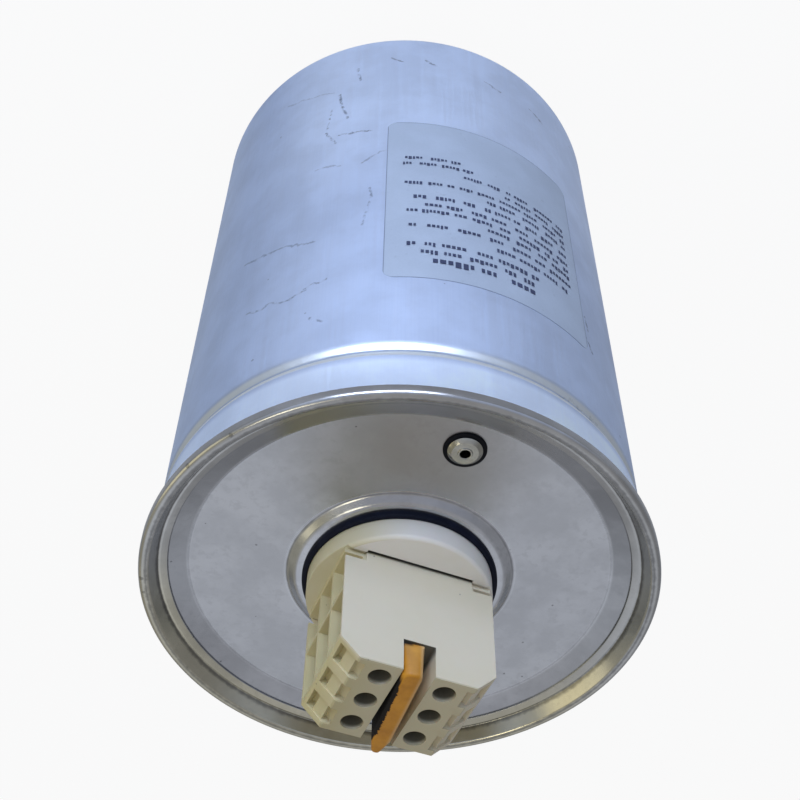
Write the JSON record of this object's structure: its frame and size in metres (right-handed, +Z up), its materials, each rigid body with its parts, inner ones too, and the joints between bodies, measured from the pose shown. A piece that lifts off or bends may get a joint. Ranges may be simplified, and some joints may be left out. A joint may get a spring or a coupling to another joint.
{
  "type": "power factor correction capacitor",
  "caption": "Three-phase capacitor in a round seamed aluminium can, with a ribbed terminal block, ceramic discharge resistor, filling plug and base mounting stud",
  "frame": {"origin": "centre of the can's flat base, where the mounting stud starts", "axes": "+Z up along the can's axis to the terminals, -Y the front with the label and the filling plug, X across the wire entries"},
  "size_m": [0.142, 0.142, 0.2617],
  "materials": {
    "can_aluminium": "drawn satin aluminium with light scuffs",
    "lid_aluminium": "dull pressed aluminium",
    "plug_aluminium": "turned aluminium",
    "seal_rubber": "navy black rubber",
    "ring_rubber": "black rubber",
    "cream_plastic": "moulded cream thermoset",
    "ochre_ceramic": "glazed ochre ceramic",
    "tinned_metal": "tinned wire",
    "plated_steel": "zinc-plated steel",
    "contact_metal": "plain brass strip",
    "label_foil": "silver foil with plain printed bars",
    "white_insulator": "natural white insulating plastic",
    "wound_film": "metallised film, wound",
    "lead_sleeve": "sleeved wire"
  },
  "bodies": {
    "root": {"can": "can_aluminium", "lid": "lid_aluminium", "terminal_seal": "seal_rubber", "terminal_base": "cream_plastic", "terminal_housing": "cream_plastic", "discharge_resistor": "ochre_ceramic", "resistor_pins": "tinned_metal", "clamp_screws": "plated_steel", "wire_clamps": "plated_steel", "contact_bar_front": "contact_metal", "contact_bar_middle": "contact_metal", "contact_bar_rear": "contact_metal", "filling_plug": "plug_aluminium", "plug_seal": "ring_rubber", "rating_label": "label_foil", "bottom_cup": "white_insulator", "core_tube": "white_insulator", "winding_inner": "wound_film", "winding_middle": "wound_film", "winding_outer": "wound_film", "top_cup": "white_insulator", "lead_front": "lead_sleeve", "lead_middle": "lead_sleeve", "lead_rear": "lead_sleeve"}
  },
  "joints": []
}
